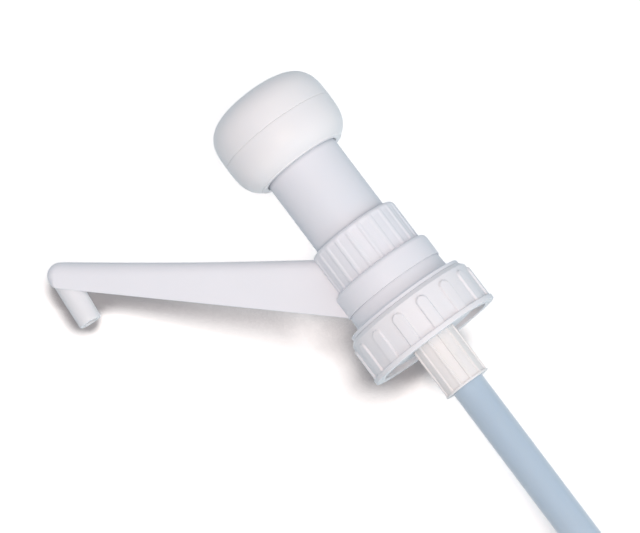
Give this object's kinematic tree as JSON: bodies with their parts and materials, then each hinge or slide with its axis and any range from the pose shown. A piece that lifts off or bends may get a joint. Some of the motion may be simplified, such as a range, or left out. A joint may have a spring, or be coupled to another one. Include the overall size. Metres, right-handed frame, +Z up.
{
  "type": "jerrycan dosing pump",
  "caption": "Hand pump on a ribbed screw cap: a spring-loaded round knob pushes a plunger that sends liquid from a dip tube out through a long slanted spout arm with a nozzle.",
  "frame": {"origin": "centre of the plane where the cap's gasket seals on the can's neck", "axes": "+Z up along the pump from the dip tube to the knob; the spout arm points towards -X"},
  "size_m": [0.1468, 0.0604, 0.3666],
  "materials": {
    "white_plastic": "satin moulded white plastic",
    "natural_plastic": "matt undyed plastic",
    "seal_rubber": "matt black rubber",
    "steel": "bright stainless steel",
    "tube_plastic": "translucent blue-grey extruded plastic"
  },
  "bodies": {
    "cap": {"screw_cap": "white_plastic", "cap_gasket": "seal_rubber"},
    "pump_body": {"barrel": "white_plastic", "barrel_flange": "white_plastic", "swivel_ring": "white_plastic", "housing": "white_plastic", "housing_o_rings": "seal_rubber", "gland_nut": "white_plastic", "gland_bush": "natural_plastic", "plunger_seal": "seal_rubber", "return_spring": "steel", "spout_arm": "white_plastic", "spout_o_ring": "seal_rubber", "nozzle": "white_plastic", "outlet_seat": "natural_plastic", "outlet_ball_stop": "natural_plastic", "valve_housing": "white_plastic", "inlet_gasket": "seal_rubber", "inlet_seat": "natural_plastic", "inlet_ball_cage": "natural_plastic", "dip_tube": "tube_plastic"},
    "spring_seat": {"spring_washer": "natural_plastic"},
    "plunger": {"plunger_tube": "white_plastic", "knob_base": "white_plastic", "knob_cap": "white_plastic", "knob_screw": "steel"},
    "inlet_ball": {"inlet_ball": "steel"},
    "outlet_ball": {"outlet_ball": "steel"}
  },
  "joints": [
    {"name": "body_swivel", "type": "hinge", "parent": "cap", "child": "pump_body", "pos_m": [0, 0, 0], "axis": [0, 0, 1], "continuous": true},
    {"name": "plunger_stroke", "type": "slide", "parent": "pump_body", "child": "spring_seat", "axis": [0, 0, -1], "range_m": [0, 0.034], "stiffness_N_per_m": 440, "springref_m": -0.025, "deforming": ["return_spring"]},
    {"name": "plunger_spin", "type": "hinge", "parent": "spring_seat", "child": "plunger", "pos_m": [0, 0, 0.058], "axis": [0, 0, 1], "continuous": true},
    {"name": "inlet_ball_lift", "type": "slide", "parent": "pump_body", "child": "inlet_ball", "axis": [0, 0, 1], "range_m": [0, 0.0035]},
    {"name": "outlet_ball_lift", "type": "slide", "parent": "pump_body", "child": "outlet_ball", "axis": [-0.7282, 0, 0.6853], "range_m": [0, 0.002]}
  ]
}
